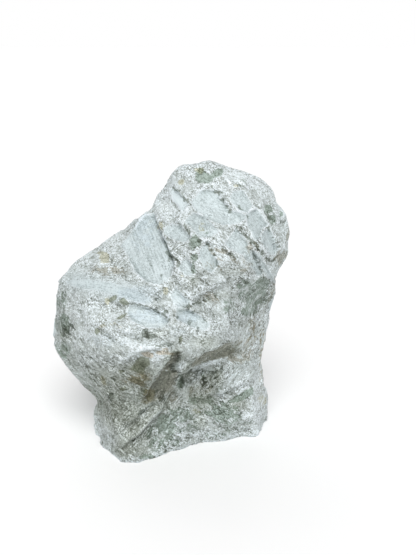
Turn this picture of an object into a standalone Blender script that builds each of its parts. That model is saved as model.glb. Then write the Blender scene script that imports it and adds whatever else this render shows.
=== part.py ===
"""Raw soapstone block: a heavy upper mass dressed with a broad chisel, a left shoulder that overhangs
a deep hollow, and a narrower foot with a flat underside. Metres, +Z up, front faces -Y.
The stone is drawn as crest and hollow lines in millimetres, skinned, rounded, then cut with chisel strokes."""

import random

import bmesh
import bpy
import numpy as np
from mathutils import Vector, noise
from mathutils.bvhtree import BVHTree
from mathutils.geometry import delaunay_2d_cdt

MM = 0.001

# The rim is the stone's edge as it shows from this point in front of it and above it.
VIEWPOINT = (27, -550, 303)

RIM = [
    (-59, -19, 0), (-61, -17, 9), (-62, -15, 19), (-58, -12, 27), (-64, -10, 35), (-70, -8, 38),
    (-79, -6, 50), (-86, -5, 61), (-91, -4, 71), (-90, -3, 85), (-88, 0, 100), (-87, 0, 113),
    (-84, 4, 123), (-74, 8, 133), (-62, 12, 141), (-50, 14, 150), (-39, 14, 155), (-29, 14, 165),
    (-24, 14, 170), (-15, 12, 173), (-11, 10, 181), (-6, 8, 190), (-2, 6, 198), (5, 8, 206),
    (11, 10, 209), (19, 12, 207), (28, 12, 210), (37, 12, 208), (44, 12, 205), (51, 12, 203),
    (61, 10, 200), (68, 8, 197), (73, 6, 192), (76, 5, 186), (77, 6, 180), (82, 8, 175),
    (85, 6, 170), (88, 5, 160), (88, 4, 150), (87, 2, 141), (84, 0, 134), (79, 0, 128),
    (77, 0, 119), (79, 0, 111), (76, 0, 102), (74, 0, 92), (71, 0, 78), (69, 2, 67),
    (68, 4, 56), (69, 5, 42), (73, 6, 33), (75, 6, 23), (74, 6, 12), (74, 10, 0),
    (70, -9, 0), (63, -20, 0), (52, -17, 0), (38, -25, 0), (25, -23, 0), (12, -32, 0),
    (4, -38, 0), (-4, -45, 0), (-19, -54, 0), (-37, -55, 0), (-44, -45, 0), (-53, -32, 0),
]

FRONT = {
    "crown": [(4, -10, 198), (18, -12, 202), (32, -13, 203), (50, -13, 200), (65, -8, 192)],
    "upper face": [(11, -26, 178), (32, -33, 180), (53, -30, 179), (69, -18, 176)],
    "lower face": [(22, -45, 158), (42, -45, 158), (62, -36, 156), (77, -20, 155)],
    "flank edge": [(-10, -6, 174), (-5, -26, 160), (1, -41, 149), (8, -53, 136)],
    "brow": [(83, -6, 138), (65, -27, 133), (49, -40, 132), (32, -48, 131), (15, -55, 128)],
    "under the brow": [(25, -50, 122), (39, -44, 124)],
    "flank": [(-26, -6, 161), (-33, -14, 148), (-20, -36, 141), (-13, -47, 134)],
    "shoulder": [(-63, -10, 136), (-48, -10, 142)],
    "trough head": [(-75, -18, 124), (-53, -28, 137), (-33, -35, 137)],
    "trough": [(-76, -22, 117), (-60, -34, 127), (-37, -46, 130), (-16, -56, 128)],
    "step": [(-79, -22, 110), (-63, -38, 121), (-44, -50, 124), (-26, -57, 124), (-12, -60, 120), (1, -63, 114)],
    "short step": [(8, -59, 121), (18, -60, 117), (26, -58, 108)],
    "lobe": [(-80, -24, 93), (-68, -38, 101), (-49, -56, 108), (-29, -65, 109)],
    "lower lobe": [(-81, -22, 79), (-64, -42, 83), (-44, -60, 93)],
    "groove": [(-31, -65, 102), (-18, -65, 105), (-7, -65, 101), (3, -66, 97)],
    "lip": [(-35, -63, 83), (-22, -69, 93), (-11, -73, 97), (0, -74, 97), (7, -71, 94)],
    "belly": [(9, -66, 108), (25, -61, 100), (37, -52, 104)],
    "belly lip": [(7, -58, 74), (15, -60, 81), (21, -57, 85), (33, -51, 88), (43, -43, 91)],
    "belly edge": [(42, -43, 122), (43, -44, 107)],
    "valley": [(10, -34, 57), (20, -30, 63), (34, -27, 68), (45, -26, 77)],
    "nose": [(-15, -56, 66), (-8, -62, 75), (1, -67, 85)],
    "nose root": [(-6, -42, 53), (5, -42, 66), (9, -50, 78)],
    "right side": [(59, -22, 116), (58, -22, 95), (55, -21, 73)],
    "column": [(-51, -45, 63), (-42, -50, 49), (-41, -53, 29), (-35, -56, 12)],
    "column edge": [(-28, -58, 64), (-15, -48, 45), (-22, -54, 30), (-29, -58, 14)],
    "crease": [(-5, -37, 41), (-14, -44, 24), (-21, -52, 10)],
    "hollow": [(14, -32, 47), (32, -31, 54)],
    "ledge": [(27, -30, 40), (43, -28, 46), (59, -21, 51)],
    "under the ledge": [(30, -27, 32), (47, -24, 36), (61, -17, 38)],
    "foot": [(10, -37, 25), (29, -30, 21), (47, -26, 21), (63, -18, 19)],
    "back lump": [(-54, -25, 25), (-53, -32, 13)],
}

BACK = {
    "heel": [
        (-59, -19, 0), (-61, 4, 0), (-60, 30, 0), (-48, 52, 0), (-14, 60, 0),
        (24, 66, 0), (54, 58, 0), (72, 38, 0), (74, 10, 0),
    ],
    "low": [(-63, 14, 32), (-64, 36, 34), (-48, 60, 38), (-8, 66, 40), (30, 74, 34), (60, 62, 36), (69, 34, 32)],
    "waist": [(-84, 14, 66), (-80, 38, 70), (-56, 60, 72), (-14, 68, 78), (30, 70, 70), (60, 60, 66), (70, 30, 66)],
    "upper": [(-88, 16, 104), (-82, 42, 108), (-58, 66, 112), (-12, 78, 118), (34, 72, 112), (64, 58, 106), (76, 26, 108)],
    "shoulder": [(-64, 28, 130), (-48, 46, 140), (-24, 60, 148), (6, 72, 158), (44, 70, 160), (74, 48, 150), (86, 22, 150)],
    "crown": [(-14, 34, 164), (-2, 46, 180), (24, 50, 192), (52, 44, 186), (72, 30, 178)],
    "top": [(6, 26, 202), (24, 30, 204), (46, 28, 198), (60, 22, 192)],
}

# Strokes on the front are placed where they show from the viewpoint on the upright plane y = 0.
# Each chop is (head, foot, width, depth): a flat chisel facet, deepest along its upper right side.
CHOPS = {
    "chip": ((0, 192), (10, 178), 6, 2),
    "lower chip": ((-3, 184), (6, 174), 5, 1),
    "broad": ((23, 191), (42, 168), 18, 2.6),
    "top right": ((45, 191), (58, 176), 11, 1.4),
    "left of centre": ((9, 174), (26, 159), 12, 1.2),
    "far left": ((-3, 168), (12, 154), 11, 1.4),
    "wedge": ((23, 151), (30, 128), 12, 2.2),
    "beside the wedge": ((8, 141), (14, 124), 9, 1.2),
    "centre": ((42, 162), (52, 140), 12, 2.2),
    "right": ((59, 174), (70, 157), 12, 2.2),
    "far right": ((68, 160), (77, 140), 10, 2),
    "low right": ((54, 147), (67, 124), 10, 2.2),
    "striated": ((-22, 168), (-9, 124), 23, 4.5),
    "tongue": ((-7, 124), (10, 101), 13, 1.5),
    "under the step": ((-31, 96), (-5, 87), 12, 2),
    "under the short step": ((6, 96), (25, 84), 8, 1.6),
    "foot": ((-39, -12), (-13, 17), 14, 2),
}

BACK_EYE = (0, 600, 160)
LEFT_EYE = (-600, 10, 130)
RIGHT_EYE = (600, 10, 130)

# Broad faces left by splitting the stone from its bed: (eye, spot, depth).
SPLITS = {
    "upper back": (BACK_EYE, (22, 156), 5),
    "back shoulder": (BACK_EYE, (-50, 112), 4.5),
    "lower back": (BACK_EYE, (-22, 54), 5),
    "back right": (BACK_EYE, (54, 92), 4),
    "heel": (BACK_EYE, (36, 26), 3.5),
    "left end": (LEFT_EYE, (34, 98), 2.5),
    "left foot": (LEFT_EYE, (30, 34), 2),
    "right end": (RIGHT_EYE, (36, 142), 2.5),
    "right flank": (RIGHT_EYE, (34, 56), 2),
}

# Chisel marks off the front: (eye, first spot, rows, columns, pitch, seed).
ROWS = {
    "back head": (BACK_EYE, (-20, 186), 2, 3, 24, 1),
    "back middle": (BACK_EYE, (-44, 96), 2, 3, 30, 2),
    "left": (LEFT_EYE, (12, 118), 2, 2, 22, 3),
    "right": (RIGHT_EYE, (12, 176), 2, 2, 22, 4),
}

# Each ledge is (line, depth, reach): the stone drops by the depth along the right of the line, going along it,
# and comes back to its old level within about the reach.
LEDGES = {
    "shoulder line": ([(-68, 137), (-56, 133), (-43, 130), (-31, 125)], 2, 9),
    "step": ([(-76, 110), (-58, 109), (-46, 106), (-34, 104), (-17, 100), (-4, 89)], 3.2, 12),
    "short step": ([(3, 100), (13, 96), (25, 86)], 2.2, 9),
    "lip": ([(-41, 53), (-33, 61), (-24, 65), (-12, 68), (-1, 66), (5, 62)], 3.5, 10),
    "nose": ([(-26, 20), (-20, 30), (-12, 41), (-6, 52), (5, 62)], 4, 12),
    "belly": ([(6, 43), (15, 50), (25, 57), (38, 65), (47, 73)], 4, 14),
    "belly side": ([(49, 71), (45, 83), (42, 96), (44, 110), (40, 124), (32, 132)], 2.5, 12),
    "slab": ([(23, 23), (40, 29), (52, 35), (62, 40)], 3, 9),
    "crease": ([(-47, -23), (-35, -14), (-23, -4), (-14, 10), (-7, 26)], 3, 12),
    "back lump": ([(-62, 20), (-56, 10), (-55, -4), (-54, -19)], 3, 12),
    "head step": ([(33, 153), (40, 146), (49, 139)], 2, 8),
}

# The same off the front: (eye, line, depth, reach).
STEPS = {
    "back step": (BACK_EYE, [(70, 118), (44, 127), (20, 118), (-8, 124), (-34, 112), (-60, 116)], 4, 16),
    "low back step": (BACK_EYE, [(-50, 64), (-24, 72), (4, 63), (30, 70), (56, 58)], 3.5, 14),
    "head step": (BACK_EYE, [(-2, 172), (22, 164), (44, 172), (68, 160)], 3, 12),
    "left step": (LEFT_EYE, [(-4, 84), (16, 78), (38, 87), (58, 78)], 3, 12),
    "right step": (RIGHT_EYE, [(-6, 96), (14, 103), (36, 92), (56, 99)], 3, 12),
    "right foot step": (RIGHT_EYE, [(8, 44), (28, 50), (50, 41)], 2.5, 10),
}

# Each groove is (line, depth, width).
GROOVES = {
    "pits": ([(-47, 75), (-35, 76), (-24, 73), (-14, 72), (-4, 69)], 2, 3.5),
    "under the tongue": ([(10, 100), (19, 104), (30, 109), (41, 116)], 3, 4),
    "shoulder pits": ([(-65, 135), (-54, 132), (-42, 128)], 1.2, 3),
}

# Lumps and hollows on the front: (spot, radius, height).
SWELLS = {
    "nose block": ((-9, 53), 9, 1.5),
    "block under the belly": ((8, 51), 6, 2.5),
    "rib in the hollow": ((33, 56), 8, 2),
    "hollow": ((22, 40), 14, -3),
    "under the lip": ((-24, 54), 9, -2),
    "green foot": ((-4, -6), 16, -1.5),
    "pocket": ((10, 45), 5, -3.5),
}

# The rim winds to and fro along the line of sight by up to the first length, in bends of the second.
WINDING = (10, 38)

VOXEL = 1.8
ROUNDING_PASSES = 8
FILL_OUT = 0.7
EDGE = 1.8
FACES = 8000

# The skin runs this far below the ground before it is cut, and what ends up this near the ground is set on it.
BELOW = 6
RESTING = 0.5

# What breaks up the surface everywhere: waves of this size and height, then tilted broken faces.
RIPPLE = (30, 1.4)
CRUMBLE = (19, 1.5)

COLOUR = (0.43, 0.47, 0.455, 1)
ROUGHNESS = 0.75


def seen_at(point):
    """Where a point shows from the viewpoint, on a plane across the line of sight."""
    x, y, z = (p - v for p, v in zip(point, VIEWPOINT))
    return Vector((x / y, z / y))


def sheet(lines):
    """Triangles over the rim that pass through every crest and hollow line, as points and faces."""
    points = list(RIM)
    edges = []
    for line in lines.values():
        last = None
        for point in line:
            if point not in points:
                points.append(point)
            index = points.index(point)
            if last is not None:
                edges.append((last, index))
            last = index
    rim = list(range(len(RIM)))
    flat = [seen_at(p) for p in points]
    found, _, faces, origin, _, _ = delaunay_2d_cdt(flat, edges, [rim], 1, 1e-7)
    placed = [points[o[0]] if o else None for o in origin]
    if None in placed:
        at = placed.index(None)
        raise ValueError(f"two lines cross near {tuple(found[at])}")
    return placed, faces


def placed_corner(point):
    """Where a drawn point goes: a rim point winds along its line of sight, and the foot runs on down to be cut."""
    x, y, z = point
    if z == 0:
        return Vector((x, y, -BELOW))
    if point not in RIM:
        return Vector(point)
    reach, bend = WINDING
    push = max(-1, min(1, 2.6 * noise.noise(Vector(point) / bend))) * reach
    sight = Vector(point) - Vector(VIEWPOINT)
    return Vector(point) + sight * (push / sight.y)


def skin():
    """The rough stone: a front sheet and a back sheet joined along the rim."""
    bm = bmesh.new()
    corner = {}
    for lines, turn in ((FRONT, False), (BACK, True)):
        points, faces = sheet(lines)
        for face in faces:
            ring = [points[i] for i in face]
            for point in ring:
                if point not in corner:
                    corner[point] = bm.verts.new(placed_corner(point) * MM)
            verts = [corner[p] for p in ring]
            bm.faces.new(reversed(verts) if turn else verts)
    bmesh.ops.recalc_face_normals(bm, faces=bm.faces)
    mesh = bpy.data.meshes.new("soapstone_block")
    bm.to_mesh(mesh)
    bm.free()
    return mesh


def applied(obj, kind, **settings):
    """The object with one modifier made permanent."""
    modifier = obj.modifiers.new(kind.lower(), kind)
    for name, value in settings.items():
        setattr(modifier, name, value)
    graph = bpy.context.evaluated_depsgraph_get()
    mesh = bpy.data.meshes.new_from_object(obj.evaluated_get(graph))
    obj.modifiers.clear()
    obj.data = mesh
    return obj


def wander(spot):
    """A smooth pseudo-random offset."""
    return Vector([noise.noise(spot + Vector((0, 0, 31.7 * i))) for i in range(3)])


class Stone:
    """The skin as arrays of points and normals in millimetres, with the strokes that shape it."""

    def __init__(self, mesh):
        self.mesh = mesh
        self.points = np.empty(len(mesh.vertices) * 3, np.float32)
        mesh.vertices.foreach_get("co", self.points)
        self.points = self.points.reshape(-1, 3).astype(float) / MM
        self.measure()

    def measure(self):
        """Normals and a search tree for the shape as it is now."""
        self.mesh.vertices.foreach_set("co", (self.points * MM).astype(np.float32).ravel())
        self.mesh.update()
        normals = np.empty(len(self.points) * 3, np.float32)
        self.mesh.vertex_normals.foreach_get("vector", normals)
        self.normals = normals.reshape(-1, 3).astype(float)
        faces = [tuple(p.vertices) for p in self.mesh.polygons]
        self.tree = BVHTree.FromPolygons([Vector(p) for p in self.points], faces)

    def drawn(self, eye):
        """Every point as it shows from the eye on the upright plane through the origin."""
        eye = np.array(eye, float)
        across = 1 if abs(eye[1]) > abs(eye[0]) else 0
        ray = self.points - eye
        hit = eye + ray * (-eye[across] / ray[:, across])[:, None]
        return hit[:, [1 - across, 2]]

    def facing(self, eye):
        """0 to 1: how fully each point faces the eye."""
        ray = np.array(eye, float) - self.points
        ray /= np.linalg.norm(ray, axis=1)[:, None]
        return np.clip((np.sum(ray * self.normals, axis=1) + 0.05) / 0.25, 0, 1)

    def broadside(self):
        """Near 0 along the rim, so that the drawn outline keeps its shape, and 1 away from it."""
        ray = np.array(VIEWPOINT, float) - self.points
        ray /= np.linalg.norm(ray, axis=1)[:, None]
        return np.clip(np.abs(np.sum(ray * self.normals, axis=1)) / 0.35, 0.15, 1)

    def under(self, spot, eye):
        """The surface point that shows at this spot from the eye."""
        target = Vector((spot[0], 0, spot[1])) if abs(eye[1]) > abs(eye[0]) else Vector((0, spot[0], spot[1]))
        found = self.tree.ray_cast(Vector(eye), target - Vector(eye))
        if found[0] is None:
            found = self.tree.find_nearest(target)
        return np.array(found[0])

    def chop(self, head, foot, width, depth, eye=VIEWPOINT):
        """A flat facet between two spots; the side to the right of head-to-foot, seen outward, is cut deepest."""
        a, b = self.under(head, eye), self.under(foot, eye)
        middle, along = (a + b) / 2, b - a
        length = np.linalg.norm(along)
        along /= length
        near = np.exp(-np.sum((self.points - middle) ** 2, axis=1) / (0.35 * (length + width)) ** 2)
        out = np.sum(self.normals * (near * self.facing(eye))[:, None], axis=0)
        out -= along * (out @ along)
        out /= np.linalg.norm(out)
        side = np.cross(out, along)
        offset = self.points - middle
        u, v, h = offset @ along / (length / 2), offset @ side / (width / 2), offset @ out
        plane = -depth * (0.45 + 0.55 * v)
        inside = np.clip((1 - np.abs(u)) * length / 2 / EDGE, 0, 1) * np.clip((1 - np.abs(v)) * width / 2 / EDGE, 0, 1)
        inside *= (np.abs(h) < 14) & (self.normals @ out > 0.25)
        self.points += out * (inside * np.minimum(plane - h, 0))[:, None]

    def split(self, spot, depth, eye):
        """A broad flat face: all that stands proud of a plane this far under the spot is taken off."""
        offset = self.points - self.under(spot, eye)
        near = np.exp(-np.sum(offset**2, axis=1) / 22**2)
        out = np.sum(self.normals * near[:, None], axis=0)
        out /= np.linalg.norm(out)
        reach = np.linalg.norm(offset, axis=1)
        wobble = [8 * noise.noise(Vector(p) / 14) for p in self.points]
        amount = np.clip((46 + np.array(wobble) - reach) / 12, 0, 1) * np.clip(self.normals @ out * 4, 0, 1)
        self.points -= out * (amount * np.maximum(offset @ out + depth, 0))[:, None]

    def beside(self, line, eye):
        """Distance to a drawn line, which side of it, and how far each point is from the line's two ends."""
        flat = self.drawn(eye)
        best = np.full(len(flat), 1e9)
        side = np.zeros(len(flat))
        run = np.zeros(len(flat))
        start = 0
        for p, q in zip(line, line[1:]):
            p, q = np.array(p, float), np.array(q, float)
            step = q - p
            length = np.linalg.norm(step)
            t = np.clip((flat - p) @ step / length**2, 0, 1)
            gap = flat - p - t[:, None] * step
            distance = np.linalg.norm(gap, axis=1)
            closer = distance < best
            best = np.where(closer, distance, best)
            side = np.where(closer, gap[:, 0] * step[1] - gap[:, 1] * step[0], side)
            run = np.where(closer, start + t * length, run)
            start += length
        return best, side > 0, np.clip(np.minimum(run, start - run) / (0.22 * start), 0.15, 1)

    def ledge(self, line, depth, reach, eye=VIEWPOINT):
        """A step down along the right of a drawn line, which off the front fades out towards the rim."""
        distance, right, taper = self.beside(line, eye)
        drop = depth * taper * np.exp(-((distance / reach) ** 2)) * np.clip(distance / EDGE, 0, 1) * right
        if eye != VIEWPOINT:
            drop = drop * self.broadside()
        self.points -= self.normals * (drop * self.facing(eye))[:, None]

    def groove(self, line, depth, width, eye=VIEWPOINT):
        distance, _, taper = self.beside(line, eye)
        drop = depth * taper * np.exp(-((distance / width) ** 2))
        self.points -= self.normals * (drop * self.facing(eye))[:, None]

    def swell(self, spot, radius, height, eye=VIEWPOINT):
        """A lump, or with a height below 0 a hollow."""
        offset = self.points - self.under(spot, eye)
        rise = height * np.exp(-np.sum(offset**2, axis=1) / radius**2)
        self.points += self.normals * rise[:, None]

    def crumble(self, size, height, seed):
        """Broken faces: each cell of about this size is tilted its own way."""
        rise = np.empty(len(self.points))
        for i, point in enumerate(self.points):
            spot = Vector(point) / size + Vector((seed, 0, 0))
            spot += 0.35 * wander(spot * 1.3)
            distances, centres = noise.voronoi(spot)
            lean = noise.cell_vector(centres[0] * 97.0) - Vector((0.5, 0.5, 0.5))
            rise[i] = 1.6 * lean.dot(spot - centres[0]) + 0.5 * lean.x
        self.points += self.normals * (height * rise * self.broadside())[:, None]

    def ripple(self, size, height, seed):
        """Smooth waves."""
        rise = [noise.fractal(Vector(p) / size + Vector((seed, 0, 0)), 0.7, 2.1, 4) for p in self.points]
        self.points += self.normals * (height * np.array(rise) * self.broadside())[:, None]


def marks(first, rows, columns, pitch, seed):
    """Chops side by side in uneven rows, all leaning much the same way."""
    chance = random.Random(seed)
    for row in range(rows):
        for column in range(columns):
            x = first[0] + pitch * (column + 0.3 * (row % 2) + chance.uniform(-0.3, 0.3))
            z = first[1] - pitch * (1.1 * row + 0.3 * column + chance.uniform(-0.3, 0.3))
            length = pitch * chance.uniform(0.7, 1.5)
            lean = chance.uniform(0.2, 0.8)
            width = pitch * chance.uniform(0.4, 0.9)
            yield (x, z), (x + lean * length, z - length), width, chance.uniform(0.8, 2.4)


def sculpt(mesh):
    """Every stroke on the rounded skin, from the broad faces down to the chisel marks."""
    stone = Stone(mesh)
    stone.points += stone.normals * FILL_OUT
    stone.measure()
    for eye, spot, depth in SPLITS.values():
        stone.split(spot, depth, eye)
    stone.measure()
    stone.ripple(*RIPPLE, seed=3)
    stone.crumble(*CRUMBLE, seed=11)
    stone.measure()
    for line, depth, reach in LEDGES.values():
        stone.ledge(line, depth, reach)
    for eye, line, depth, reach in STEPS.values():
        stone.ledge(line, depth, reach, eye)
    for line, depth, width in GROOVES.values():
        stone.groove(line, depth, width)
    for spot, radius, height in SWELLS.values():
        stone.swell(spot, radius, height)
    stone.measure()
    for eye, first, rows, columns, pitch, seed in ROWS.values():
        for head, foot, width, depth in marks(first, rows, columns, pitch, seed):
            stone.chop(head, foot, width, depth, eye)
    for head, foot, width, depth in CHOPS.values():
        stone.chop(head, foot, width, depth)
    stone.measure()


def cut_underside(mesh):
    """The underside, cut off flat at z = 0."""
    bm = bmesh.new()
    bm.from_mesh(mesh)
    everything = bm.verts[:] + bm.edges[:] + bm.faces[:]
    cut = bmesh.ops.bisect_plane(
        bm, geom=everything, dist=1e-6, plane_co=(0, 0, 0), plane_no=(0, 0, -1), clear_outer=True
    )
    rim = [e for e in cut["geom_cut"] if isinstance(e, bmesh.types.BMEdge)]
    bmesh.ops.holes_fill(bm, edges=rim, sides=0)
    bm.to_mesh(mesh)
    bm.free()


def settle(mesh):
    """The stone moved so that the middle of its box stands over the origin, with its underside level."""
    low = [min(v.co[i] for v in mesh.vertices) for i in range(3)]
    high = [max(v.co[i] for v in mesh.vertices) for i in range(3)]
    for vertex in mesh.vertices:
        vertex.co.x -= (low[0] + high[0]) / 2
        vertex.co.y -= (low[1] + high[1]) / 2
        if vertex.co.z < RESTING * MM:
            vertex.co.z = 0


def soapstone():
    material = bpy.data.materials.new("soapstone")
    material.use_nodes = True
    shader = material.node_tree.nodes["Principled BSDF"]
    shader.inputs["Base Color"].default_value = COLOUR
    shader.inputs["Roughness"].default_value = ROUGHNESS
    shader.inputs["Metallic"].default_value = 0
    return material


def main():
    for obj in list(bpy.data.objects):
        bpy.data.objects.remove(obj)
    block = bpy.data.objects.new("soapstone_block", skin())
    collection = bpy.data.collections.new("soapstone block")
    bpy.context.scene.collection.children.link(collection)
    collection.objects.link(block)
    applied(block, "REMESH", mode="VOXEL", voxel_size=VOXEL * MM)
    applied(block, "SMOOTH", factor=0.5, iterations=ROUNDING_PASSES)
    sculpt(block.data)
    applied(block, "SMOOTH", factor=0.5, iterations=1)
    cut_underside(block.data)
    applied(block, "TRIANGULATE")
    applied(block, "DECIMATE", ratio=FACES / len(block.data.polygons))
    settle(block.data)
    block.data.materials.append(soapstone())


if __name__ == "__main__":
    main()
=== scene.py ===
import math

import bmesh
import bpy
import numpy as np
from mathutils import Euler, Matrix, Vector, noise
from mathutils.bvhtree import BVHTree


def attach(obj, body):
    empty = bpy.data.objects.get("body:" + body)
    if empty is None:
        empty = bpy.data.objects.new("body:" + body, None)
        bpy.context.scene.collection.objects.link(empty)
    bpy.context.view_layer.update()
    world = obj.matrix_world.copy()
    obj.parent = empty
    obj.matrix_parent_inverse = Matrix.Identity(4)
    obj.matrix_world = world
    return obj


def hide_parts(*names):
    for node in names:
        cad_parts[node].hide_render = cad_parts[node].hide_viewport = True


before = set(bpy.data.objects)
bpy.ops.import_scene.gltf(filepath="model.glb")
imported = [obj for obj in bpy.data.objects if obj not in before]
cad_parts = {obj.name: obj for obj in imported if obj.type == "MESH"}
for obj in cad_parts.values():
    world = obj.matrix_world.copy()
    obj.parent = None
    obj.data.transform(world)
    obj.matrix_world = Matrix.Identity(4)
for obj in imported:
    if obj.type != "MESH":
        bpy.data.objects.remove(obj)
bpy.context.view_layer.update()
print("frame loaded")

mm = 0.001

# The stone was drawn as it shows from one eye for each side, on the upright plane through the drawing's
# own middle. All strokes below are in mm on those planes: across, up.
drawing = {
    "moved": (2.1, -3.5, 0),    # mm, from the drawing to the frame
    "eyes": {
        "front": (27, -550, 303), "back": (0, 600, 160), "left": (-600, 10, 130), "right": (600, 10, 130),
    },
    "full": 0.25,               # how squarely a face must meet an eye to show its marks in full
    "lens": 50,
    "tilt": 72,                 # degrees from straight down
}


class Wire:
    # a node's output that can stand in a sum
    def __init__(self, paint, socket):
        self.paint = paint
        self.socket = socket

    def maths(self, operation, first, second):
        return self.paint.node("ShaderNodeMath", {"operation": operation}, {0: first, 1: second})

    def __add__(self, other):
        return self.maths("ADD", self, other)

    def __radd__(self, other):
        return self.maths("ADD", other, self)

    def __sub__(self, other):
        return self.maths("SUBTRACT", self, other)

    def __rsub__(self, other):
        return self.maths("SUBTRACT", other, self)

    def __mul__(self, other):
        return self.maths("MULTIPLY", self, other)

    def __rmul__(self, other):
        return self.maths("MULTIPLY", other, self)


class Paint:
    # a material being wired up
    def __init__(self, name):
        self.material = bpy.data.materials.new(name)
        self.material.use_nodes = True
        self.nodes = self.material.node_tree.nodes
        self.shader = self.nodes["Principled BSDF"]

    def plug(self, socket, value):
        if isinstance(value, Wire):
            self.material.node_tree.links.new(value.socket, socket)
        else:
            socket.default_value = value

    def coat(self, inputs):
        for name, value in inputs.items():
            self.plug(self.shader.inputs[name], value)

    def node(self, kind, settings=None, inputs=None, output=0):
        made = self.nodes.new(kind)
        for name, value in (settings or {}).items():
            setattr(made, name, value)
        for key, value in (inputs or {}).items():
            self.plug(made.inputs[key], value)
        return Wire(self, made.outputs[output])

    def attribute(self, name):
        return self.node("ShaderNodeAttribute", {"attribute_name": name}, output="Fac")

    def vector(self, name):
        return self.node("ShaderNodeAttribute", {"attribute_name": name}, output="Vector")

    def grain(self, place, scale, detail, roughness=0.55, warp=0):
        inputs = {"Vector": place, "Scale": scale, "Detail": detail, "Roughness": roughness}
        return self.node("ShaderNodeTexNoise", None, inputs | {"Distortion": warp})

    def cells(self, place, scale):
        # one random value for each cell: times 1 makes its colour a value
        return self.node("ShaderNodeTexVoronoi", None, {"Vector": place, "Scale": scale}, "Color") * 1

    def stretch(self, place, factors):
        return self.node("ShaderNodeVectorMath", {"operation": "MULTIPLY"}, {0: place, 1: factors})

    def bent(self, place, scale, amount):
        # a place moved about a little, so that what is drawn there has no straight edges
        inputs = {"Vector": place, "Scale": scale, "Detail": 2}
        sway = self.node("ShaderNodeTexNoise", None, inputs, "Color")
        inputs = {0: sway, 1: (amount, amount, amount), 2: place}
        return self.node("ShaderNodeVectorMath", {"operation": "MULTIPLY_ADD"}, inputs)

    def grained(self, place, lie):
        # clumps, shards, pits, haze and specks, all longer one way
        turn = {"Vector": place, "Rotation": tuple(math.radians(angle) for angle in lie)}
        flow = self.stretch(self.node("ShaderNodeMapping", None, turn), (stone["long"], 1, 1))
        flow = self.bent(flow, *grains["sway"])
        cells = [self.cells(flow, grains[name]) for name in ("clumps", "shards", "pits")]
        haze = self.grain(flow, *grains["haze"])
        return cells + [haze, self.grain(flow, *grains["specks"])]

    def step(self, value, low, high, start=0, end=1):
        # value brought smoothly from low..high to start..end
        ends = {"Value": value, "From Min": low, "From Max": high, "To Min": start, "To Max": end}
        return self.node("ShaderNodeMapRange", {"interpolation_type": "SMOOTHSTEP"}, ends)

    def blend(self, amount, first, second, how="MIX"):
        settings = {"data_type": "RGBA", "blend_type": how, "clamp_result": how != "MIX"}
        return self.node("ShaderNodeMix", settings, {0: amount, 6: first, 7: second}, 2)


def tone(red, green, blue):
    # a colour given as it shows on a screen, 0 to 255, none under 11
    return tuple(((shown / 255 + 0.055) / 1.055) ** 2.4 for shown in (red, green, blue)) + (1,)


stone = {
    "weld": 0.01,               # mm within which the CAD's loose points are joined
    "voxel": 1.27,              # mm between points of the fine skin
    "rounding": (0.5, 3),       # how much, and how many times, hard edges are rubbed down
    "edge": 0.9,                # mm over which a cut's edge fades
    "margin": 1.5,              # mm over which what is on a facet gives way to what is round it
    "facetReach": (60, 6),      # mm that a facet reaches from its middle, along the surface and through it
    "sunk": (0.8, 1.2),         # times its number: how deep a facet's middle is, and its wall beyond that
    "cutReach": 5,              # mm over which a facet's painted edge can wander
    "paneEdge": 2.2,            # mm over which a pane's edge fades
    "patchEdge": 1.5,           # how sharply a patch ends
    "ends": 0.2,                # share of a line over which its end fades
    "wall": 0.9,                # mm that a torn edge is sunk
    "wallReach": (0.44, 0.5, 1.4),      # share of its width that is painted, and sunk; mm of its fading
    "torn": (2.4, 0.6, 1.4),    # mm across its breaks, how torn it is on the whole, and its swing
    "chips": [(10, 1.2, 21), (5, 0.8, 22)],     # size, height, seed of the broken faces
    "bent": (1.3, 0.35),        # how fast and how far their edges wander, in faces
    "lean": (1.6, 0.5),         # how much each one tilts, and stands out or in
    "waves": [(12, 0.9, 5), (2.6, 0.27, 9)],    # size, height, seed of the soft swells and of the grit
    "streaks": (24, 2.6, 0.8),  # mm long, mm apart, mm high in a scratched band
    "onFacet": 0.25,            # how high they are on a facet, as a share of that
    "slices": (11.3, 7.3),      # mm of noise between one scratched band and the next, and between facets
    "lie": [(0, -32, 12), (0, 52, -12)],        # degrees: which way the grain lies, and where it is turned
    "long": 0.36,               # how much slower everything changes along the grain
    "scratched": {"striated": 1, "trough": 1, "tongue": 0.8, "underStep": 0.8},     # how plainly each is
    "otherwise": {"front": 0.5, "back": 0.9, "left": 0.9, "right": 0.9},    # and the rest of each side
    "crust": (15, 0.6, 1.3, 0.15),      # mm across rougher ground, how rough in all, its swing, the least
    "broken": (0.3, 0.7, 0.9),  # how broken smooth ground is, how much more so crust, and less so a facet
    "settled": 8,               # rounds of averaging that show where the hollows are
    "drift": (30, 0.2, 0.4),    # away from the front: mm across a slow change of tone, how much, how calm
    # roughness of each kind of noise, how much finer each layer is, layers
    "noises": {"waves": (0.7, 2.1, 4), "crust": (0.8, 2.1, 3), "drift": (0.7, 2, 4)},
    "foot": (0.8, 0.05),        # mm: what is lower than the first is laid flat at the second
}

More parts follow.
